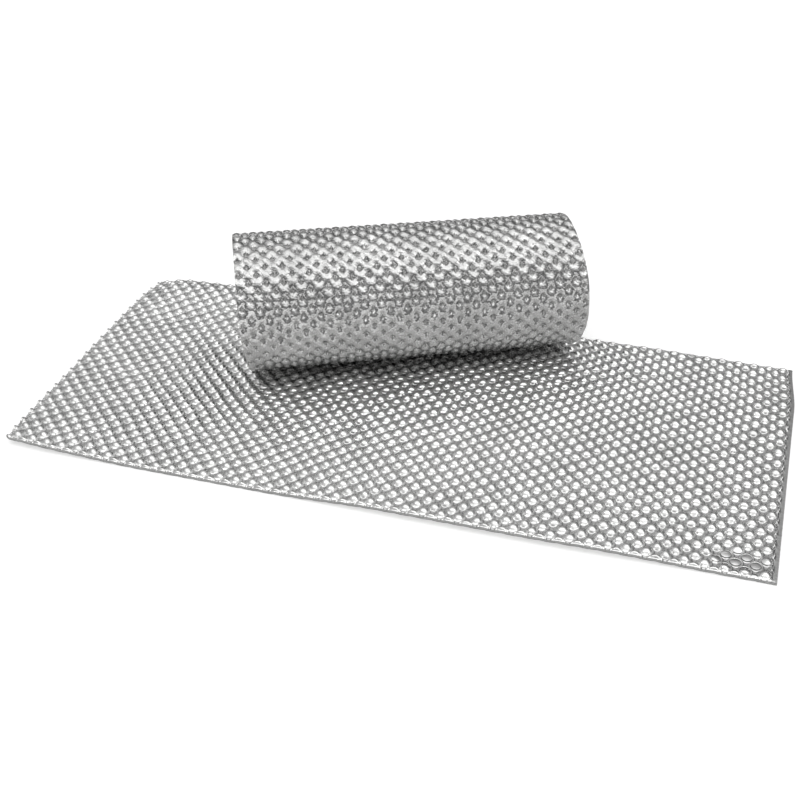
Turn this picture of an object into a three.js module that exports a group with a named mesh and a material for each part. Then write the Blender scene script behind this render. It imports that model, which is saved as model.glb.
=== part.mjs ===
// A pair of foil-faced foam sleeping pads: one laid out on the ground, the other
// rolled up and resting on it. Millimetres, +Z up, origin on the ground under the
// middle of the whole object, +X along the laid pad.

import * as THREE from 'three';
import { mergeVertices } from 'three/addons/utils/BufferGeometryUtils.js';

// ---- driving dimensions -------------------------------------------------------

const DOME_SPACING = 27;                 // from dome to dome along either edge
const PAD_LENGTH = 43.8 * DOME_SPACING;
const PAD_WIDTH = 20.5 * DOME_SPACING;

const FOIL = 0.2;                        // laminated aluminium film
const BOND = 0.3;                        // clearance that stands for the glue line
const CORE = 3.6;                        // closed-cell foam
const PAD_THICKNESS = FOIL + BOND + CORE + BOND + FOIL;
const DOME_HEIGHT = 5.5;                 // embossed relief, which the flat layers leave out

// Where the laid pad bends, measured from its middle.
const LEFT_BEND_X = -14.6 * DOME_SPACING;
const RIGHT_BEND_X = 12.3 * DOME_SPACING;
const BEND_GAP = 0.5;

// How the laid pad lies: a crease runs slantwise across it, the part to the right
// of the crease stands a little off the ground and comes down again at the end.
const CREASE_X = -250;                   // where the crease crosses the middle line
const CREASE_ANGLE = THREE.MathUtils.degToRad(35);
const CREASE_RUN = 160;
const WING_RISE = 7;
const WING_FALL_START = RIGHT_BEND_X;
const WING_FALL_END = 21 * DOME_SPACING;

// The back left corner humps up, and the front left corner lifts a little.
const HUMP_RISE = 11;
const HUMP_REACH = 9 * DOME_SPACING;     // along the back edge
const HUMP_DEPTH = 6 * DOME_SPACING;     // in from the back edge
const HUMP_CREST = 1.1 * DOME_SPACING;
const HUMP_EDGE_SHARE = 0.55;            // height left at the back edge itself
const CORNER_LIFT = 8;
const CORNER_REACH = 9 * DOME_SPACING;

// The rolled pad is one spiral, wound from its free edge at the bottom front.
const ROLL_RADIUS = 114.5;
const TURN_PITCH = 9;
const FREE_EDGE_ANGLE = THREE.MathUtils.degToRad(33);   // from straight down, to the front
const ROLL_AZIMUTH = THREE.MathUtils.degToRad(24.7);
const ROLL_MIDDLE = new THREE.Vector2(-2.1 * DOME_SPACING, 6 * DOME_SPACING);
const STEPS_PER_TURN = 40;

// ---- the laid pad -------------------------------------------------------------

const smooth = (value, from, to) => THREE.MathUtils.smoothstep(value, from, to);

// Height of the laid pad's underside above the ground at a point of its plan.
function restHeight(x, y) {
  const fromLeft = x + PAD_LENGTH / 2;
  const fromBack = PAD_WIDTH / 2 - y;

  const pastCrease = (x - CREASE_X) * Math.cos(CREASE_ANGLE) + y * Math.sin(CREASE_ANGLE);
  const wing = smooth(pastCrease, -CREASE_RUN / 2, CREASE_RUN / 2)
    * (1 - smooth(x, WING_FALL_START, WING_FALL_END));

  const humpAlong = smooth(fromLeft, 0, 2 * DOME_SPACING)
    * (1 - smooth(fromLeft, 3.5 * DOME_SPACING, HUMP_REACH));
  const humpAcross = fromBack > HUMP_CREST
    ? 1 - smooth(fromBack, HUMP_CREST, HUMP_DEPTH)
    : THREE.MathUtils.lerp(HUMP_EDGE_SHARE, 1, smooth(fromBack, 0, HUMP_CREST));

  const fromCorner = Math.hypot(fromLeft, PAD_WIDTH - fromBack);
  const corner = 1 - smooth(fromCorner, 0, CORNER_REACH);

  return WING_RISE * wing + HUMP_RISE * humpAlong * humpAcross + CORNER_LIFT * corner;
}

// Evenly spaced stations from one value to another, both included.
function stations(from, to, count) {
  return Array.from({ length: count + 1 }, (_, i) => from + (to - from) * i / count);
}

// One layer of the laid pad between two x stations lists: a thin closed slab that
// follows the rest height, its underside at the given offset above it.
function laidLayer(xs, ys, offset, thickness) {
  const positions = [];
  for (const lift of [offset, offset + thickness]) {
    for (const x of xs) {
      for (const y of ys) positions.push(x, y, restHeight(x, y) + lift);
    }
  }
  const rows = ys.length;
  const sheet = xs.length * rows;
  const index = [];
  const quad = (a, b, c, d) => index.push(a, b, c, a, c, d);
  for (let i = 0; i < xs.length - 1; i++) {
    for (let j = 0; j < rows - 1; j++) {
      const corner = i * rows + j;
      const [a, b, c, d] = [corner, corner + rows, corner + rows + 1, corner + 1];
      quad(a, d, c, b);
      quad(a + sheet, b + sheet, c + sheet, d + sheet);
    }
  }
  for (let i = 0; i < xs.length - 1; i++) {
    const front = i * rows;
    const back = front + rows - 1;
    quad(front, front + rows, front + rows + sheet, front + sheet);
    quad(back + rows, back, back + sheet, back + rows + sheet);
  }
  for (let j = 0; j < rows - 1; j++) {
    const left = j;
    const right = (xs.length - 1) * rows + j;
    quad(left + 1, left, left + sheet, left + 1 + sheet);
    quad(right, right + 1, right + 1 + sheet, right + sheet);
  }
  const geometry = new THREE.BufferGeometry();
  geometry.setAttribute('position', new THREE.Float32BufferAttribute(positions, 3));
  geometry.setIndex(index);
  return geometry;
}

// ---- the rolled pad -----------------------------------------------------------

// Radius of the roll's outer face at an angle wound in from the free edge.
const outerRadius = (wound) => ROLL_RADIUS - TURN_PITCH * wound / (2 * Math.PI);

// Angle that uses up the pad's whole length along the middle of its thickness.
function woundAngle() {
  const start = ROLL_RADIUS - PAD_THICKNESS / 2;
  const shrink = TURN_PITCH / (2 * Math.PI);
  return (start - Math.sqrt(start * start - 2 * shrink * PAD_LENGTH)) / shrink;
}

// A point of the roll's section: x to the back, y up, at a depth below the outer face.
function spiralPoint(wound, depth) {
  const angle = FREE_EDGE_ANGLE + wound;
  const radius = outerRadius(wound) - depth;
  return new THREE.Vector2(-radius * Math.sin(angle), -radius * Math.cos(angle));
}

// One layer of the rolled pad: its section drawn as a closed strip and extruded
// along the roll.
function rolledLayer(depth, thickness) {
  const total = woundAngle();
  const turns = stations(0, total, Math.round(STEPS_PER_TURN * total / (2 * Math.PI)));
  const outside = turns.map((wound) => spiralPoint(wound, depth));
  const inside = turns.map((wound) => spiralPoint(wound, depth + thickness)).reverse();
  const section = new THREE.Shape([...outside, ...inside]);
  const geometry = new THREE.ExtrudeGeometry(section, { depth: PAD_WIDTH, bevelEnabled: false });
  geometry.deleteAttribute('normal');
  geometry.deleteAttribute('uv');
  geometry.translate(0, 0, -PAD_WIDTH / 2);
  return mergeVertices(geometry, 1e-4);
}

// ---- materials ----------------------------------------------------------------

const foil = new THREE.MeshStandardMaterial({ color: 0xc4c5c6, roughness: 0.18, metalness: 1 });
const foam = new THREE.MeshStandardMaterial({ color: 0x8d8f90, roughness: 0.9, metalness: 0 });

// ---- assembly -----------------------------------------------------------------

function piece(name, geometry, material) {
  geometry.computeVertexNormals();
  const mesh = new THREE.Mesh(geometry, material);
  mesh.name = name;
  return mesh;
}

const layers = [
  { name: 'bottom_foil', offset: 0, thickness: FOIL, material: foil },
  { name: 'foam_core', offset: FOIL + BOND, thickness: CORE, material: foam },
  { name: 'top_foil', offset: PAD_THICKNESS - FOIL, thickness: FOIL, material: foil },
];

const stretches = [
  { name: 'left_end', from: -PAD_LENGTH / 2, to: LEFT_BEND_X - BEND_GAP / 2, cells: 7 },
  { name: 'middle', from: LEFT_BEND_X + BEND_GAP / 2, to: RIGHT_BEND_X - BEND_GAP / 2, cells: 20 },
  { name: 'right_end', from: RIGHT_BEND_X + BEND_GAP / 2, to: PAD_LENGTH / 2, cells: 7 },
];

const laidPad = new THREE.Group();
const acrossPad = stations(-PAD_WIDTH / 2, PAD_WIDTH / 2, 14);
for (const stretch of stretches) {
  const alongPad = stations(stretch.from, stretch.to, stretch.cells);
  for (const layer of layers) {
    const geometry = laidLayer(alongPad, acrossPad, layer.offset, layer.thickness);
    laidPad.add(piece(`${layer.name}_${stretch.name}`, geometry, layer.material));
  }
}

const rolledPad = new THREE.Group();
rolledPad.add(piece('rolled_outer_foil', rolledLayer(0, FOIL), foil));
rolledPad.add(piece('rolled_foam_core', rolledLayer(FOIL + BOND, CORE), foam));
rolledPad.add(piece('rolled_inner_foil', rolledLayer(PAD_THICKNESS - FOIL, FOIL), foil));

// The roll lies on the domes of the raised part of the laid pad.
const underRoll = new THREE.Box3().setFromObject(rolledPad).min.y;
const rollHeight = WING_RISE + PAD_THICKNESS + DOME_HEIGHT + BOND - underRoll;
const rollAxis = new THREE.Vector3(Math.cos(ROLL_AZIMUTH), Math.sin(ROLL_AZIMUTH), 0);
const up = new THREE.Vector3(0, 0, 1);
const toBack = new THREE.Vector3().crossVectors(up, rollAxis);
rolledPad.quaternion.setFromRotationMatrix(new THREE.Matrix4().makeBasis(toBack, up, rollAxis));
rolledPad.position.set(ROLL_MIDDLE.x, ROLL_MIDDLE.y, rollHeight);

const pads = new THREE.Group();
pads.add(laidPad, rolledPad);

// The origin goes under the middle of the whole object.
const middle = new THREE.Box3().setFromObject(pads, true).getCenter(new THREE.Vector3());
pads.position.set(-middle.x, -middle.y, 0);

const sleepingPads = new THREE.Group();
sleepingPads.add(pads);

export default sleepingPads;
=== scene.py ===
import logging
import math
from dataclasses import dataclass, field
from enum import Enum
from typing import Callable, Sequence

import bpy
import numpy as np
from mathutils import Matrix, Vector


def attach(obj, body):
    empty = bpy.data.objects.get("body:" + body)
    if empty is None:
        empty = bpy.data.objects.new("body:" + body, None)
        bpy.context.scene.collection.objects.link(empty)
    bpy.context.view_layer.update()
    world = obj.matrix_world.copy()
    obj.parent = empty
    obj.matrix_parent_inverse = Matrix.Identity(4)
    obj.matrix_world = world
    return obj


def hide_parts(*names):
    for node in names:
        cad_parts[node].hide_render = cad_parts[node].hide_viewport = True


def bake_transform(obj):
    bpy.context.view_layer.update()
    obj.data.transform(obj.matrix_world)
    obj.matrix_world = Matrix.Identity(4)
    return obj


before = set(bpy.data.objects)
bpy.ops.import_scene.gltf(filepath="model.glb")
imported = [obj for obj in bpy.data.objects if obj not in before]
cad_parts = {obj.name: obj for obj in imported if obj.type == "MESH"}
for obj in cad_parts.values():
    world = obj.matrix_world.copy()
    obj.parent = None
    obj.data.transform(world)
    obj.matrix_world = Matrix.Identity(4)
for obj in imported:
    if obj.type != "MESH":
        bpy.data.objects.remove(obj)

LOG = logging.getLogger("sleeping_pads")
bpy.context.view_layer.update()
SPACING = 0.027          # from one dome to the next in a row, in metres
NORMAL_STEP = 2.0e-4     # half the span over which a film's slope is taken
SHARP_FOLD = math.radians(50.0)

Array = np.ndarray
Surface = Callable[[Array, Array], Array]


# ---- small helpers --------------------------------------------------------------

def smooth(value: Array | float, start: float, end: float) -> Array:
    """Smooth step.

    Args:
        value: What is stepped.
        start: Where the step leaves 0.
        end: Where it reaches 1.

    Returns:
        Numbers from 0 to 1.
    """
    share = np.clip((np.asarray(value, dtype=float) - start) / (end - start), 0.0, 1.0)
    return share * share * (3.0 - 2.0 * share)


def wander(x: Array, y: Array, seed: int, shortest: float, longest: float, waves: int = 9) -> Array:
    """A smooth uneven field, the sum of a few seeded waves.

    Args:
        x: First coordinate, in metres.
        y: Second coordinate, in metres.
        seed: Seed of the waves' directions, lengths and phases.
        shortest: Shortest wavelength.
        longest: Longest wavelength.
        waves: Number of waves.

    Returns:
        Values of about -1 to 1.
    """
    rng = np.random.default_rng(seed)
    total = np.zeros(np.broadcast(x, y).shape)
    for _ in range(waves):
        length = math.exp(rng.uniform(math.log(shortest), math.log(longest)))
        turn, phase = rng.uniform(0.0, math.tau, 2)
        total += np.sin(math.tau * (x * math.cos(turn) + y * math.sin(turn)) / length + phase)
    return total / math.sqrt(waves)


def grid_quads(rows: int, columns: int, first: int = 0, turned: bool = False) -> Array:
    """Quads of a grid of vertices stored row by row.

    Args:
        rows: Number of vertex rows.
        columns: Number of vertices in a row.
        first: Index of the grid's first vertex.
        turned: Whether the faces look the other way.

    Returns:
        Vertex indices, four to a quad.
    """
    corner = (np.arange(rows - 1)[:, None] * columns + np.arange(columns - 1)[None, :]).ravel() + first
    order = (0, 1, columns + 1, columns) if turned else (0, columns, columns + 1, 1)
    return np.stack([corner + step for step in order], axis=1)


def mesh_object(name: str, points: Array, quads: Array, plan: Array | None = None) -> bpy.types.Object:
    """A mesh object at the origin, linked to the scene.

    Args:
        name: The piece's name.
        points: Vertices, in metres.
        quads: Vertex indices, four to a face.
        plan: Each vertex's place on the flat sheet, kept as a UV map.

    Returns:
        The new object.
    """
    mesh = bpy.data.meshes.new(name)
    mesh.vertices.add(len(points))
    mesh.vertices.foreach_set("co", np.ascontiguousarray(points, dtype=np.float32).ravel())
    mesh.loops.add(quads.size)
    mesh.loops.foreach_set("vertex_index", quads.astype(np.int32).ravel())
    mesh.polygons.add(len(quads))
    mesh.polygons.foreach_set("loop_start", np.arange(0, quads.size, 4, dtype=np.int32))
    mesh.update(calc_edges=True)
    if plan is not None:
        layer = mesh.uv_layers.new(name="sheet")
        layer.data.foreach_set("uv", plan[quads.ravel()].astype(np.float32).ravel())
    mesh.polygons.foreach_set("use_smooth", np.ones(len(quads), dtype=bool))
    piece = bpy.data.objects.new(name, mesh)
    bpy.context.scene.collection.objects.link(piece)
    return piece


def foil_sheet(name: str, surface: Surface, along: Array, across: Array, turned: bool,
               count: Callable[[Array, Array], tuple[Array, Array]]) -> bpy.types.Object:
    """A film of foil over a grid of stations, with the surface's own normals.

    Args:
        name: The piece's name.
        surface: Gives points in space for places on the flat sheet.
        along: Stations along the sheet's length.
        across: Stations across its width.
        turned: Whether the film looks to the other side of the sheet.
        count: Gives places in dome spacings, for the UV map.

    Returns:
        The film's object.
    """
    u, v = (part.ravel() for part in np.meshgrid(along, across, indexing="ij"))
    points = surface(u, v)
    by_u = surface(u + NORMAL_STEP, v) - surface(u - NORMAL_STEP, v)
    by_v = surface(u, v + NORMAL_STEP) - surface(u, v - NORMAL_STEP)
    normals = np.cross(by_v, by_u) if turned else np.cross(by_u, by_v)
    normals /= np.linalg.norm(normals, axis=1, keepdims=True)
    piece = mesh_object(name, points, grid_quads(len(along), len(across), turned=turned),
                        np.stack(count(u, v), axis=1))
    piece.data.normals_split_custom_set_from_vertices(normals.tolist())
    return piece


def foam_slab(name: str, upper: Surface, lower: Surface, along: Array, across: Array) -> bpy.types.Object:
    """A closed slab of foam between two surfaces, with cut sides.

    Args:
        name: The piece's name.
        upper: The face towards which along x across points.
        lower: The other face.
        along: Stations along the slab's length.
        across: Stations across its width.

    Returns:
        The slab's object.
    """
    u, v = (part.ravel() for part in np.meshgrid(along, across, indexing="ij"))
    points = np.concatenate([upper(u, v), lower(u, v)])
    rows, columns = len(along), len(across)
    count = rows * columns
    quads = [grid_quads(rows, columns), grid_quads(rows, columns, count, turned=True)]
    ring = np.concatenate([
        np.arange(rows - 1) * columns,
        (rows - 1) * columns + np.arange(columns - 1),
        np.arange(rows - 1, 0, -1) * columns + columns - 1,
        np.arange(columns - 1, 0, -1),
    ])
    ahead = np.roll(ring, -1)
    quads.append(np.stack([ring, ring + count, ahead + count, ahead], axis=1))
    piece = mesh_object(name, points, np.concatenate(quads))
    bpy.ops.object.select_all(action="DESELECT")
    bpy.context.view_layer.objects.active = piece
    piece.select_set(True)
    bpy.ops.object.shade_smooth_by_angle(angle=SHARP_FOLD)
    piece.select_set(False)
    return piece


# ---- finishes -------------------------------------------------------------------

class Value:
    """A shader socket that takes part in sums."""

    def __init__(self, tree: bpy.types.NodeTree, socket: bpy.types.NodeSocket) -> None:
        """Wraps a socket of a tree."""
        self.tree, self.socket = tree, socket

    def _math(self, operation: str, *parts: "Value | float") -> "Value":
        """Adds one Math node.

        Args:
            operation: The node's operation.
            parts: Its inputs, in order.

        Returns:
            The node's result.
        """
        node = self.tree.nodes.new("ShaderNodeMath")
        node.operation = operation
        for socket, part in zip(node.inputs, parts):
            if isinstance(part, Value):
                self.tree.links.new(part.socket, socket)
            else:
                socket.default_value = part
        return Value(self.tree, node.outputs[0])

    def __add__(self, other: "Value | float") -> "Value":
        """Sum."""
        return self._math("ADD", self, other)

    def __mul__(self, other: "Value | float") -> "Value":
        """Product."""
        return self._math("MULTIPLY", self, other)

    def __sub__(self, other: "Value | float") -> "Value":
        """Difference."""
        return self._math("SUBTRACT", self, other)

    def __rsub__(self, other: float) -> "Value":
        """Difference from a number."""
        return self._math("SUBTRACT", other, self)

    def __pow__(self, other: "Value | float") -> "Value":
        """Power."""
        return self._math("POWER", self, other)

    __radd__, __rmul__ = __add__, __mul__

    def __truediv__(self, other: "Value | float") -> "Value":
        """Quotient."""
        return self._math("DIVIDE", self, other)

    def root(self) -> "Value":
        """Square root."""
        return self._math("SQRT", self)

    def fraction(self) -> "Value":
        """What is left past the whole number below."""
        return self._math("FRACT", self)

    def least(self, other: "Value") -> "Value":
        """The smaller of two values."""
        return self._math("MINIMUM", self, other)

    def clamped(self, low: float, high: float) -> "Value":
        """The value held between two numbers."""
        return self._math("MINIMUM", self._math("MAXIMUM", self, low), high)


class Nodes:
    """A node tree, and the one way in which it gets its nodes."""

    def __init__(self, tree: bpy.types.NodeTree) -> None:
        """Takes the tree."""
        self.tree = tree

    def node(self, kind: str, settings: dict | None = None, output: int | str = 0,
             sockets: dict[int, object] | None = None, **inputs) -> Value:
        """Adds a node.

        Args:
            kind: The node's type.
            settings: Its properties, set first.
            output: Which output is handed back.
            sockets: Values or links of its sockets by number, where names repeat.
            inputs: Values or links of its sockets by name, with _ for a space.

        Returns:
            The chosen output.
        """
        node = self.tree.nodes.new(kind)
        for key, value in (settings or {}).items():
            setattr(node, key, value)
        for key, value in (sockets or {}).items():
            self.feed(node.inputs[key], value)
        for key, value in inputs.items():
            self.feed(node.inputs[key.replace("_", " ")], value)
        return Value(self.tree, node.outputs[output])

    def feed(self, socket: bpy.types.NodeSocket, value: object) -> None:
        """Links a value to a socket, or sets the socket to it."""
        if isinstance(value, Value):
            self.tree.links.new(value.socket, socket)
        else:
            socket.default_value = value


class Shader(Nodes):
    """One material and its nodes."""

    def __init__(self, name: str) -> None:
        """Makes a material that holds a Principled shader alone."""
        self.material = bpy.data.materials.new(name)
        self.material.use_nodes = True
        super().__init__(self.material.node_tree)
        self.surface = self.tree.nodes["Principled BSDF"]

    def set(self, **inputs: object) -> None:
        """Sets or links sockets of the Principled shader, with _ for a space."""
        for key, value in inputs.items():
            self.feed(self.surface.inputs[key.replace("_", " ")], value)

    def blend(self, share: Value, low: Sequence[float], high: Sequence[float]) -> Value:
        """A colour between two, by a share from 0 to 1."""
        return self.node("ShaderNodeMix", {"data_type": "RGBA"}, output=2,
                         sockets={0: share, 6: (*low, 1.0), 7: (*high, 1.0)})


@dataclass(frozen=True)
class FoilFinish:
    """Thin aluminium film pressed over foam: a ring round each dome, crinkles and dull patches.

    Its UV map counts dome spacings, so that the rings sit round the domes. The reach and width of
    rings and nipples, and where the domes end, are in spacings. Sizes and heights are in metres.
    """

    name: str
    spacing: float = SPACING
    bright: tuple[float, float, float] = (0.82, 0.82, 0.815)
    dull: tuple[float, float, float] = (0.70, 0.70, 0.695)
    smoothest: float = 0.05
    roughest: float = 0.12
    ring_reach: float = 0.345
    ring_width: float = 0.080
    ring_height: float = 0.0011
    plain_from: float = 46.30
    plain_run: float = 0.08
    nipple_reach: float = 0.05
    nipple_depth: float = 0.00012
    crinkle_size: float = 0.0050
    crinkle_height: float = 0.00028
    crease_share: float = 0.45
    fold_scale: float = 0.55
    grain_size: float = 0.0012
    grain_height: float = 0.00002
    patch_scale: float = 14.0
    dull_from: float = 0.32
    dull_gain: float = 2.6
    grain_share: float = 0.8

    def from_dome(self, u: Value, v: Value) -> Value:
        """Distance to the nearest dome's crest.

        Args:
            u: Place along the sheet, in dome spacings.
            v: Place across it, in dome spacings.

        Returns:
            The distance, in dome spacings.
        """
        rows = []
        for start in (0.5, 0.0):
            across, along = (u + start).fraction() - 0.5, (v + start).fraction() - 0.5
            rows.append((across * across + along * along).root())
        return rows[0].least(rows[1])

    def build(self) -> bpy.types.Material:
        """Makes the material.

        Returns:
            The finished material.
        """
        shader = Shader(self.name)
        place = shader.node("ShaderNodeTexCoord", output="UV")
        u, v = (shader.node("ShaderNodeSeparateXYZ", output=part, Vector=place) for part in "XY")
        from_dome = self.from_dome(u, v)
        domed = 1.0 - ((u - self.plain_from) / self.plain_run).clamped(0.0, 1.0)
        off_ring = (from_dome - self.ring_reach) / self.ring_width
        ring = (1.0 - off_ring * off_ring).clamped(0.0, 1.0)
        nipple = (1.0 - from_dome / self.nipple_reach).clamped(0.0, 1.0)
        patches = shader.node("ShaderNodeTexNoise", Vector=place, Scale=self.patch_scale * self.spacing,
                              Detail=3.0, Roughness=0.6)
        crinkles = shader.node("ShaderNodeTexVoronoi", {"feature": "SMOOTH_F1"}, "Distance",
                               Vector=place, Scale=self.spacing / self.crinkle_size,
                               Randomness=1.0, Smoothness=0.35)
        folds = shader.node("ShaderNodeTexNoise", Vector=place,
                            Scale=self.fold_scale * self.spacing / self.crinkle_size, Detail=4.0,
                            Roughness=0.62, Distortion=0.4)
        grain = shader.node("ShaderNodeTexNoise", Vector=place, Scale=self.spacing / self.grain_size,
                            Detail=2.0, Roughness=0.5)
        share = (patches - self.dull_from) * self.dull_gain + (grain - 0.5) * self.grain_share
        share = share.clamped(0.0, 1.0)
        relief = (crinkles * self.crease_share + folds) * self.crinkle_height + grain * self.grain_height \
            + (ring * self.ring_height - nipple * self.nipple_depth) * domed
        bump = shader.node("ShaderNodeBump", output="Normal", Strength=1.0, Distance=1.0,
                           Height=relief)
        shader.set(Base_Color=shader.blend(share, self.bright, self.dull), Metallic=1.0,
                   Roughness=share * (self.roughest - self.smoothest) + self.smoothest, Normal=bump)
        return shader.material


@dataclass(frozen=True)
class FoamFinish:
    """Closed-cell foam, seen where it is cut: matt, with small open cells, whose hollow centres are painted
    darker as shade.
    """

    name: str
    pale: tuple[float, float, float] = (0.56, 0.56, 0.55)
    shade: tuple[float, float, float] = (0.34, 0.34, 0.34)
    cell_size: float = 0.0009
    cell_depth: float = 0.0003
    cell_shade_share: float = 0.9
    stain_scale: float = 40.0
    stain_share: float = 0.7
    roughness: float = 0.85

    def build(self) -> bpy.types.Material:
        """Makes the material.

        Returns:
            The finished material.
        """
        shader = Shader(self.name)
        place = shader.node("ShaderNodeTexCoord", output="Object")
        cells = shader.node("ShaderNodeTexVoronoi", output="Distance", Vector=place,
                            Scale=1.0 / self.cell_size, Randomness=1.0)
        stains = shader.node("ShaderNodeTexNoise", Vector=place, Scale=self.stain_scale, Detail=3.0)
        # Colour share: darker at the hollow centres of the open cells, which is painted shade, plus stains,
        # which are random tone.
        share = (cells * self.cell_shade_share + (stains - 0.5) * self.stain_share).clamped(0.0, 1.0)
        bump = shader.node("ShaderNodeBump", output="Normal", Strength=1.0, Distance=1.0,
                           Height=cells * self.cell_depth)
        shader.set(Base_Color=shader.blend(share, self.shade, self.pale), Roughness=self.roughness,
                   Normal=bump)
        return shader.material


# ---- the pads -------------------------------------------------------------------

class Relief(Enum):
    """The two faces that the same embossing gives."""

    DOMES = "broad domes, on the face that they stand up from"
    PITS = "narrow pits, on the other face"


@dataclass(frozen=True)
class Embossing:
    """Domes pressed through the pad in rows, every second row half a step over."""

    spacing: float = SPACING
    dome_height: float = 0.0055
    dome_reach: float = 0.325
    dome_power: float = 0.9
    dish_depth: float = 0.0012
    pit_depth: float = 0.0042
    pit_reach: float = 0.23
    pillow_height: float = 0.0036
    first_along: float = -24.4
    first_across: float = 11.25
    drift: float = 0.035
    drift_waves: tuple[float, float] = (0.05, 0.3)
    unevenness: float = 0.10
    uneven_waves: tuple[float, float] = (0.04, 0.2)

    def count(self, along: Array, across: Array, seed: int) -> tuple[Array, Array]:
        """Places counted in dome spacings, with the domes' small shifts.

        Args:
            along: Place along the sheet's length.
            across: Place across its width.
            seed: Seed of the shifts.

        Returns:
            Two numbers for each place, whole or half at a crest.
        """
        shift = self.drift * self.spacing
        by_u = shift * wander(along, across, seed, *self.drift_waves)
        by_v = shift * wander(along, across, seed + 1, *self.drift_waves)
        return (along + by_u) / self.spacing - self.first_along, \
            (across + by_v) / self.spacing - self.first_across

    def height(self, along: Array, across: Array, face: Relief, seed: int) -> Array:
        """Height of the domes or depth of the pits.

        Args:
            along: Place along the sheet's length.
            across: Place across its width.
            face: Which face of the pad it is.
            seed: Seed of the domes' small shifts and differences.

        Returns:
            Heights in metres, never negative.
        """
        u, v = self.count(along, across, seed)
        crest = 0.5 + 0.5 * np.cos(math.tau * u) * np.cos(math.tau * v)
        from_row = np.abs(u - np.round(u)), np.abs(v - np.round(v))
        from_next = np.abs(u - np.floor(u) - 0.5), np.abs(v - np.floor(v) - 0.5)
        lower = np.clip(wander(along, across, seed + 2, *self.uneven_waves), 0.0, 1.5)
        uneven = 1.0 - self.unevenness * lower
        if face is Relief.DOMES:
            away = np.minimum(np.hypot(*from_row), np.hypot(*from_next)) / self.dome_reach
            cap = np.clip(1.0 - away ** 2, 0.0, 1.0) ** self.dome_power
            return ((self.dome_height - self.dish_depth) * cap + self.dish_depth * crest) * uneven
        away = np.minimum(sum(from_row), sum(from_next)) / self.pit_reach
        return (self.pit_depth * np.clip(1.0 - away, 0.0, 1.0) + self.pillow_height * crest) * uneven


@dataclass(frozen=True)
class PadSizes:
    """What both pads share: the cut size and the layers."""

    spacing: float = SPACING
    length: float = 43.8 * SPACING
    width: float = 20.5 * SPACING
    thickness: float = 0.0046
    film_clearance: float = 0.0006

    @property
    def half_length(self) -> float:
        """Half the pad's length."""
        return self.length / 2.0

    @property
    def half_width(self) -> float:
        """Half the pad's width."""
        return self.width / 2.0


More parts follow.
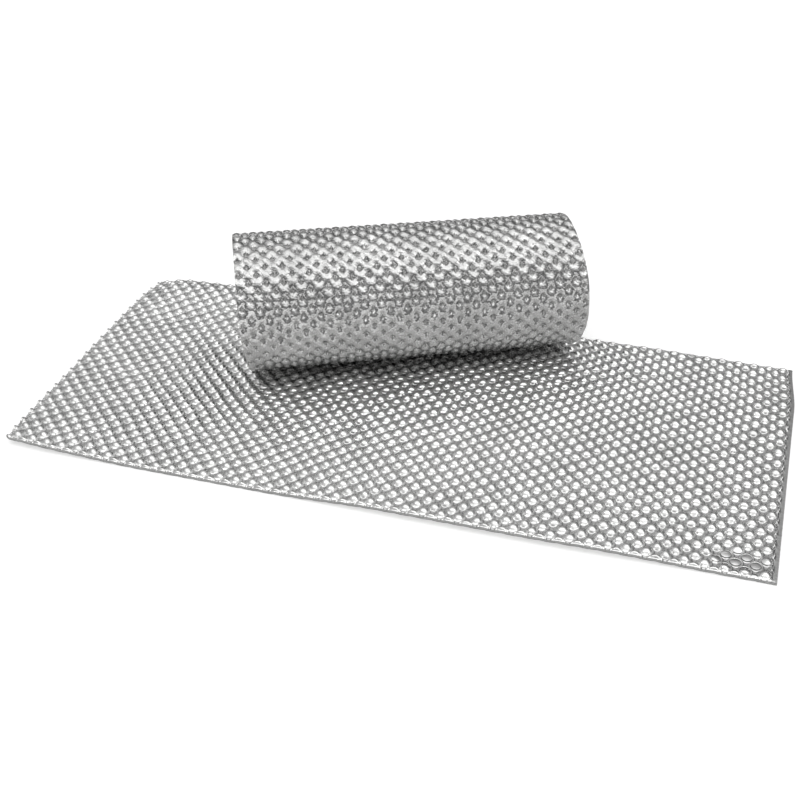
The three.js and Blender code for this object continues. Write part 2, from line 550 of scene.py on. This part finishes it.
@dataclass
class LaidPad:
    """The pad that lies on the ground, built in two halves."""

    sizes: PadSizes = field(default_factory=PadSizes)
    embossing: Embossing = field(default_factory=Embossing)
    middle_y: float = -0.049763
    join_x: float = -0.030
    left_bend: Vector = field(default_factory=lambda: Vector((-0.3942, -0.0498, 0.0146)))
    right_bend: Vector = field(default_factory=lambda: Vector((0.3321, -0.0498, 0.0216)))
    bend_run: float = 0.090
    crease_x: float = -0.250
    crease_angle: float = math.radians(35.0)
    crease_run: float = 0.160
    wing_rise: float = 0.007
    wing_fall_end: float = 21 * SPACING
    hump_rise: float = 0.011
    hump_full: float = 2.0 * SPACING
    hump_fall: float = 3.5 * SPACING
    hump_reach: float = 9 * SPACING
    hump_depth: float = 6 * SPACING
    hump_crest: float = 1.1 * SPACING
    hump_edge_share: float = 0.55
    corner_lift: float = 0.008
    corner_reach: float = 9 * SPACING
    edge_pinch: float = 0.0007
    under_pinch: float = 0.3
    pinch_run: float = 0.005
    edge_press: float = 0.75
    under_share: float = 0.5
    left_bulge: float = 0.008
    bulge_run: float = 0.20
    bulge_middle: float = 0.1
    bulge_half: float = 1.1
    front_draw: float = 0.0075
    front_draw_from: float = 0.22
    back_draw: float = 0.006
    back_draw_rise: tuple[float, float] = (0.02, 0.14)
    back_draw_fall: float = 0.30
    right_strip: float = 0.009
    strip_run: float = 0.06
    strip_corner: float = 0.12
    corner_draw: float = 0.009
    corner_aside: float = 0.8
    corner_front: float = 0.35
    corner_run: float = 0.075
    foam_share: float = 0.4
    plain_strip: float = 0.36 * SPACING
    plain_share: float = 0.55
    crush_place: tuple[float, float] = (0.548, -0.245)
    crush_size: tuple[float, float] = (0.050, 0.026)
    crush_share: float = 0.7
    crush_core: float = 0.5
    foil_cells: int = 14
    under_cells: int = 8
    foam_cells: int = 7
    seed: int = 11

    def count(self, along: Array, across: Array) -> tuple[Array, Array]:
        """Places on the pad counted in dome spacings."""
        return self.embossing.count(along, across, self.seed)

    @property
    def right_edge(self) -> float:
        """Where the pad's plain strip ends, from its middle."""
        return self.sizes.half_length + self.right_strip

    def rest_height(self, x: Array, y: Array) -> Array:
        """Height of the pad's underside above the ground.

        Args:
            x: Place along the pad from its middle.
            y: Place across it from its middle.

        Returns:
            Heights in metres.
        """
        from_left = x + self.sizes.half_length
        from_back = self.sizes.half_width - y
        past = (x - self.crease_x) * math.cos(self.crease_angle) + y * math.sin(self.crease_angle)
        wing = smooth(past, -self.crease_run / 2, self.crease_run / 2) \
            * (1.0 - smooth(x, self.right_bend.x, self.wing_fall_end))
        hump_along = smooth(from_left, 0.0, self.hump_full) \
            * (1.0 - smooth(from_left, self.hump_fall, self.hump_reach))
        to_crest = smooth(from_back, 0.0, self.hump_crest)
        edge = self.hump_edge_share + (1.0 - self.hump_edge_share) * to_crest
        hump_across = np.where(from_back > self.hump_crest,
                               1.0 - smooth(from_back, self.hump_crest, self.hump_depth), edge)
        from_corner = np.hypot(from_left, y + self.sizes.half_width)
        corner = 1.0 - smooth(from_corner, 0.0, self.corner_reach)
        return self.wing_rise * wing + self.hump_rise * hump_along * hump_across \
            + self.corner_lift * corner

    def to_edge(self, x: Array, y: Array) -> Array:
        """Distance from each place to the nearest cut edge."""
        ends = np.minimum(self.sizes.half_length + x, self.right_edge - x)
        return np.minimum(ends, self.sizes.half_width - np.abs(y))

    def pressed(self, x: Array, y: Array) -> Array:
        """Share of the full embossing that each place has.

        Args:
            x: Place along the pad from its middle.
            y: Place across it from its middle.

        Returns:
            0 on the plain strip at the right end, up to 1.
        """
        from_right = self.right_edge - x
        from_crush = np.hypot((x - self.crush_place[0]) / self.crush_size[0],
                              (y - self.crush_place[1]) / self.crush_size[1])
        crushed = 1.0 - smooth(from_crush, self.crush_core, 1.0)
        return smooth(from_right, self.plain_share * self.plain_strip, self.plain_strip) \
            * (1.0 - self.crush_share * crushed)

    def surface(self, face: Relief, inset: float = 0.0, inner_share: float = 1.0) -> Surface:
        """A face of the laid pad.

        Args:
            face: DOMES for the top face, PITS for the underside.
            inset: How far inside the pad's face it lies.
            inner_share: Share of the relief that it follows away from the cut edges.

        Returns:
            The surface, in the row frame.
        """
        def place(x: Array, y: Array) -> Array:
            """Points in space for places on the pad."""
            to_edge = self.to_edge(x, y)
            near = 1.0 - smooth(to_edge, 0.0, self.pinch_run)
            relief = self.embossing.height(x, y, face, self.seed) * self.pressed(x, y)
            if face is Relief.PITS:
                relief = relief * self.under_share
            left_edge = -self.sizes.half_length
            press = self.edge_press * near * smooth(x, left_edge, self.pinch_run + left_edge)
            relief = relief * (inner_share + (1.0 - inner_share) * near) * (1.0 - press)
            if face is Relief.DOMES:
                level = self.sizes.thickness - self.edge_pinch * near + relief - inset
            else:
                level = self.under_pinch * self.edge_pinch * near + relief + inset
            aside, ahead = self.drawn(x, y)
            return np.stack([x + aside, y + ahead + self.middle_y, self.rest_height(x, y) + level],
                            axis=-1)
        return place

    def drawn(self, x: Array, y: Array) -> tuple[Array, Array]:
        """How far the sheet is drawn out of square at each place.

        Args:
            x: Place along the pad from its middle.
            y: Place across it from its middle.

        Returns:
            Small moves along and across the pad, in metres.
        """
        half_length, half_width = self.sizes.half_length, self.sizes.half_width
        bow = 1.0 - np.clip((y / half_width - self.bulge_middle) / self.bulge_half, -1.0, 1.0) ** 2
        aside = -self.left_bulge * bow * (1.0 - smooth(x, -half_length, -half_length + self.bulge_run))
        aside = aside - self.right_strip * smooth(x, half_length - self.strip_run, self.right_edge) \
            * smooth(y, half_width - self.strip_corner, half_width)
        front = smooth(x, self.front_draw_from, half_length) * smooth(-y, 0.0, half_width)
        back = smooth(x, *self.back_draw_rise) * (1.0 - smooth(x, self.back_draw_fall, half_length)) \
            * smooth(y, 0.0, half_width)
        corner_start = half_width - self.corner_run
        rounded = smooth(-x, half_length - self.corner_run, half_length)
        aside = aside + self.corner_aside * self.corner_draw * rounded * smooth(y, corner_start, half_width)
        ends = smooth(np.abs(y), corner_start, half_width) * np.where(y > 0.0, -1.0, self.corner_front)
        return aside, self.front_draw * front - self.back_draw * back + self.corner_draw * rounded * ends

    def stations(self, start: float, end: float, cells: int) -> Array:
        """Even stations from one place to another, so many to a dome's spacing."""
        return np.linspace(start, end, max(2, round((end - start) / self.sizes.spacing * cells) + 1))

    def half(self, left: bool, foil: bpy.types.Material, pitted: bpy.types.Material,
             foam: bpy.types.Material) -> None:
        """Builds one half: upper film, foam and lower film.

        Args:
            left: Whether it is the left half.
            foil: Finish of the film with domes.
            pitted: Finish of the film with pits.
            foam: Finish of the foam.
        """
        side = "left" if left else "right"
        start, end = (-self.sizes.half_length, self.join_x) if left else (self.join_x, self.right_edge)
        across = (-self.sizes.half_width, self.sizes.half_width)
        gap = self.sizes.film_clearance
        top = foil_sheet(f"laid_upper_film_{side}", self.surface(Relief.DOMES),
                         self.stations(start, end, self.foil_cells),
                         self.stations(*across, self.foil_cells), turned=False, count=self.count)
        core = foam_slab(f"laid_foam_{side}", self.surface(Relief.DOMES, gap, self.foam_share),
                         self.surface(Relief.PITS, gap), self.stations(start, end, self.foam_cells),
                         self.stations(*across, self.foam_cells))
        under = foil_sheet(f"laid_lower_film_{side}", self.surface(Relief.PITS),
                           self.stations(start, end, self.under_cells),
                           self.stations(*across, self.under_cells), turned=True, count=self.count)
        for piece, finish, slot in ((top, foil, "foil_face"), (core, foam, "foam_core"),
                                    (under, pitted, "foil_face")):
            piece.data.materials.append(finish)
            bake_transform(piece)
        for layer, piece in (("top_foil", top), ("foam_core", core), ("bottom_foil", under)):
            nodes = [f"{layer}_{side}_end"] + ([f"{layer}_middle"] if left else [])
            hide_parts(*nodes)
            LOG.info("%s stands for %s", piece.name, ", ".join(nodes))

    def build(self, foil: bpy.types.Material, pitted: bpy.types.Material,
              foam: bpy.types.Material) -> None:
        """Builds the whole laid pad, in the finishes of its domed film, pitted film and foam."""
        for left in (True, False):
            self.half(left, foil, pitted, foam)


@dataclass
class RolledPad:
    """The pad that is rolled up: one spiral, pits outside and domes inside."""

    sizes: PadSizes = field(default_factory=PadSizes)
    embossing: Embossing = field(default_factory=lambda: Embossing(first_along=-0.35, first_across=10.0))
    outer_radius: float = 0.1145
    turn_pitch: float = 0.009
    free_edge_angle: float = math.radians(33.0)
    azimuth: float = math.radians(24.7)
    middle: tuple[float, float, float] = (-0.0567, 0.11224, 0.12373)
    edge_pinch: float = 0.0012
    outer_pinch: float = 0.3
    pinch_run: float = 0.005
    wound_press: float = 0.72
    inner_free: tuple[float, float] = (0.62, 0.56)
    loose_left: float = 0.0042
    loose_right: float = 0.0010
    slid_left: float = 0.009
    slid_left_turn: tuple[float, float] = (0.0, 1.3)
    slid_right: float = 0.012
    slid_right_start: float = 0.45
    slid_right_gain: float = 0.55
    slid_right_turn: tuple[float, float] = (0.0, 0.9)
    slid_back_turn: tuple[float, float] = (1.2, 2.7)
    slid_end_turn: tuple[float, float] = (3.4, 5.2)
    outer_turn: float = 0.715
    free_turn: float = 0.08
    inner_turn: float = 0.56
    outer_cells: int = 12
    inner_cells: int = 9
    foam_cells: int = 7
    hidden_foam_cells: int = 5
    hidden_cells: int = 4
    foam_share: float = 0.75
    seed: int = 47

    def count(self, along: Array, across: Array) -> tuple[Array, Array]:
        """Places on the pad counted in dome spacings."""
        return self.embossing.count(along, across, self.seed)

    def wound(self, along: Array) -> Array:
        """Angle wound in from the free edge at a length along the pad."""
        start = self.outer_radius - self.sizes.thickness / 2.0
        shrink = self.turn_pitch / math.tau
        return (start - np.sqrt(start * start - 2.0 * shrink * along)) / shrink

    def surface(self, face: Relief, inset: float = 0.0, inner_share: float = 1.0) -> Surface:
        """A face of the rolled pad.

        Args:
            face: PITS for the outer face, DOMES for the inner one.
            inset: How far inside the pad's face it lies.
            inner_share: Share of the relief that it follows away from the cut edges.

        Returns:
            The surface, in the row frame.
        """
        axis = Vector((math.cos(self.azimuth), math.sin(self.azimuth), 0.0))
        to_back = Vector((-axis.y, axis.x, 0.0))

        def place(along: Array, across: Array) -> Array:
            """Points in space for places on the pad."""
            wound = self.wound(along)
            edge = np.minimum(np.minimum(along, self.sizes.length - along),
                              self.sizes.half_width - np.abs(across))
            near = 1.0 - smooth(edge, 0.0, self.pinch_run)
            relief = self.embossing.height(along, across, face, self.seed)
            relief = relief * (inner_share + (1.0 - inner_share) * near)
            if face is Relief.PITS:
                depth = relief + inset + self.outer_pinch * self.edge_pinch * near
            else:
                free = smooth(along, *(self.sizes.length - back for back in self.inner_free))
                pressed = self.wound_press + (1.0 - self.wound_press) * free
                depth = self.sizes.thickness - self.edge_pinch * near + relief * pressed - inset
            share = across / self.sizes.width + 0.5
            loose = self.loose_left + (self.loose_right - self.loose_left) * share
            radius = self.outer_radius + loose - self.turn_pitch * wound / math.tau - depth
            angle = self.free_edge_angle + wound
            back, up = -radius * np.sin(angle), loose - radius * np.cos(angle)
            reach = across + self.slid(wound, share)
            return np.stack([self.middle[0] + to_back.x * back + axis.x * reach,
                             self.middle[1] + to_back.y * back + axis.y * reach,
                             self.middle[2] + up], axis=-1)
        return place

    def slid(self, wound: Array, share: Array) -> Array:
        """How far the outer turn has slid along the roll.

        Args:
            wound: Angle wound in from the free edge.
            share: Place across the pad, from 0 at the left end to 1 at the right.

        Returns:
            Moves along the roll's axis, in metres.
        """
        left = -self.slid_left * smooth(wound, *self.slid_left_turn)
        out = self.slid_right_start + self.slid_right_gain * smooth(wound, *self.slid_right_turn)
        right = self.slid_right * (out - smooth(wound, *self.slid_back_turn))
        return (left + (right - left) * share) * (1.0 - smooth(wound, *self.slid_end_turn))

    def stations(self, spans: Sequence[tuple[float, float]]) -> Array:
        """Stations along the pad, with a cell count of its own for each span.

        Args:
            spans: Each span's end, in metres from the free edge, and its cells to a spacing.

        Returns:
            The stations, from the free edge to the inner end.
        """
        parts, start = [np.zeros(1)], 0.0
        for end, cells in spans:
            count = max(1, round((end - start) / self.sizes.spacing * cells))
            parts.append(np.linspace(start, end, count + 1)[1:])
            start = end
        return np.concatenate(parts)

    def across(self, cells: float) -> Array:
        """Even stations across the pad, so many to a dome's spacing."""
        half = self.sizes.half_width
        return np.linspace(-half, half, round(self.sizes.width / self.sizes.spacing * cells) + 1)

    def build(self, foil: bpy.types.Material, pitted: bpy.types.Material,
              foam: bpy.types.Material) -> None:
        """Builds the rolled pad.

        Args:
            foil: Finish of the film with domes.
            pitted: Finish of the film with pits.
            foam: Finish of the foam.
        """
        length, gap = self.sizes.length, self.sizes.film_clearance
        outer = foil_sheet("rolled_outer_film", self.surface(Relief.PITS),
                           self.stations(((self.outer_turn, self.outer_cells),
                                          (length, self.hidden_cells))),
                           self.across(self.outer_cells), turned=True, count=self.count)
        inner = foil_sheet("rolled_inner_film", self.surface(Relief.DOMES),
                           self.stations(((self.free_turn, self.inner_cells),
                                          (self.inner_turn, self.hidden_cells),
                                          (length, self.inner_cells))),
                           self.across(self.inner_cells), turned=False, count=self.count)
        core = foam_slab("rolled_foam", self.surface(Relief.DOMES, gap, self.foam_share),
                         self.surface(Relief.PITS, gap),
                         self.stations(((self.outer_turn, self.foam_cells),
                                        (length, self.hidden_foam_cells))),
                         self.across(self.foam_cells))
        for piece, finish, slot, node in ((outer, pitted, "foil_face", "rolled_outer_foil"),
                                          (inner, foil, "foil_face", "rolled_inner_foil"),
                                          (core, foam, "foam_core", "rolled_foam_core")):
            piece.data.materials.append(finish)
            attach(piece, "rolled_pad")
            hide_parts(node)
            LOG.info("%s stands for %s", piece.name, node)


# ---- studio ---------------------------------------------------------------------

@dataclass(frozen=True)
class Softbox:
    """A flat lamp aimed at a point."""

    name: str
    place: tuple[float, float, float]
    width: float
    height: float
    power: float
    target: tuple[float, float, float] = (0.0, 0.0, 0.05)

    def build(self) -> None:
        """Hangs the lamp."""
        data = bpy.data.lights.new(self.name, "AREA")
        data.shape, data.size, data.size_y = "RECTANGLE", self.width, self.height
        data.energy = self.power
        lamp = bpy.data.objects.new(self.name, data)
        lamp.location = self.place
        lamp.rotation_euler = (Vector(self.target) - Vector(self.place)).to_track_quat("-Z", "Y").to_euler()
        bpy.context.scene.collection.objects.link(lamp)


@dataclass(frozen=True)
class Glow:
    """A soft bright patch of the studio's walls."""

    towards: tuple[float, float, float]
    strength: float
    tightness: float


@dataclass
class Studio:
    """A pale lit floor, soft lamps, the air's own light and the camera."""

    camera_place: tuple[float, float, float] = (0.51112, -1.68223, 1.19459)
    camera_turn: tuple[float, float, float] = (55.40958, 0.99946, 17.35238)
    lens: float = 56.984
    sensor: float = 36.0
    floor_size: float = 12.0
    floor_level: float = -0.0004
    floor_white: float = 0.93
    floor_roughness: float = 0.9
    floor_glow: float = 0.40
    wall: float = 0.11
    air: float = 1.02
    air_power: float = 2.4
    ceiling: float = 0.35
    ceiling_from: float = 0.80
    ceiling_full: float = 0.92
    glows: tuple[Glow, ...] = (
        Glow((-1.0, 0.5, 0.6), 0.25, 8.0),
        Glow((0.65, -0.05, 0.75), 1.1, 22.0),
    )
    softboxes: tuple[Softbox, ...] = (
        Softbox("right_softbox", (1.1, 0.1, 2.0), 0.3, 0.3, 1.0),
        Softbox("front_left_softbox", (-0.9, -0.6, 2.2), 0.3, 0.3, 1.0),
    )

    def camera(self) -> None:
        """Sets up the camera."""
        data = bpy.data.cameras.new("camera")
        data.lens, data.sensor_width = self.lens, self.sensor
        data.clip_start, data.clip_end = 0.05, 60.0
        camera = bpy.data.objects.new("camera", data)
        camera.location = self.camera_place
        camera.rotation_euler = [math.radians(turn) for turn in self.camera_turn]
        bpy.context.scene.collection.objects.link(camera)
        bpy.context.scene.camera = camera

    def floor(self) -> None:
        """Lays the floor."""
        half = self.floor_size / 2.0
        corners = np.array([(-half, -half, self.floor_level), (half, -half, self.floor_level),
                            (half, half, self.floor_level), (-half, half, self.floor_level)])
        floor = mesh_object("floor", corners, np.array([[0, 1, 2, 3]]))
        shader = Shader("floor_paint")
        shader.set(Base_Color=(*[self.floor_white] * 3, 1.0), Roughness=self.floor_roughness,
                   Emission_Color=(1.0, 1.0, 1.0, 1.0), Emission_Strength=self.floor_glow)
        floor.data.materials.append(shader.material)

    def light(self) -> None:
        """Hangs the lamps and sets the air's brightness and the picture's contrast."""
        world = bpy.data.worlds.new("studio_air")
        world.use_nodes = True
        air = Nodes(world.node_tree)
        towards = air.node("ShaderNodeTexCoord", output="Generated")
        up = air.node("ShaderNodeSeparateXYZ", output="Z", Vector=towards).clamped(0.0, 1.0)
        overhead = (up - self.ceiling_from) / (self.ceiling_full - self.ceiling_from)
        light = up ** self.air_power * self.air + overhead.clamped(0.0, 1.0) * self.ceiling + self.wall
        for glow in self.glows:
            near = air.node("ShaderNodeVectorMath", {"operation": "DOT_PRODUCT"}, "Value",
                            {0: towards, 1: Vector(glow.towards).normalized()})
            light = light + near.clamped(0.0, 1.0) ** glow.tightness * glow.strength
        background = air.tree.nodes["Background"]
        air.feed(background.inputs["Strength"], light)
        air.feed(background.inputs["Color"], (1.0, 1.0, 1.0, 1.0))
        bpy.context.scene.world = world
        for softbox in self.softboxes:
            softbox.build()
        bpy.context.scene.view_settings.view_transform = "Standard"
        bpy.context.scene.view_settings.look = "None"

    def build(self) -> None:
        """Builds the floor and the lamps."""
        self.floor()
        self.light()


def main() -> None:
    """Builds the studio and both pads."""
    logging.basicConfig(level=logging.INFO, format="%(message)s")
    studio = Studio()
    studio.camera()
    studio.build()
    foil = FoilFinish("domed_foil").build()
    # The pitted film is the same foil as the domed film. Its colours are set darker as painted shade, so
    # that the lit outer face of the roll does not wash out.
    pitted = FoilFinish("pitted_foil_shaded_darker", bright=(0.68, 0.68, 0.675), dull=(0.54, 0.54, 0.535),
                        smoothest=0.12, roughest=0.22, ring_height=0.0, nipple_depth=0.0,
                        crinkle_size=0.0040, crinkle_height=0.0012).build()
    foam = FoamFinish("closed_cell_foam").build()
    LaidPad().build(foil, pitted, foam)
    RolledPad().build(foil, pitted, foam)


if __name__ == "__main__":
    main()
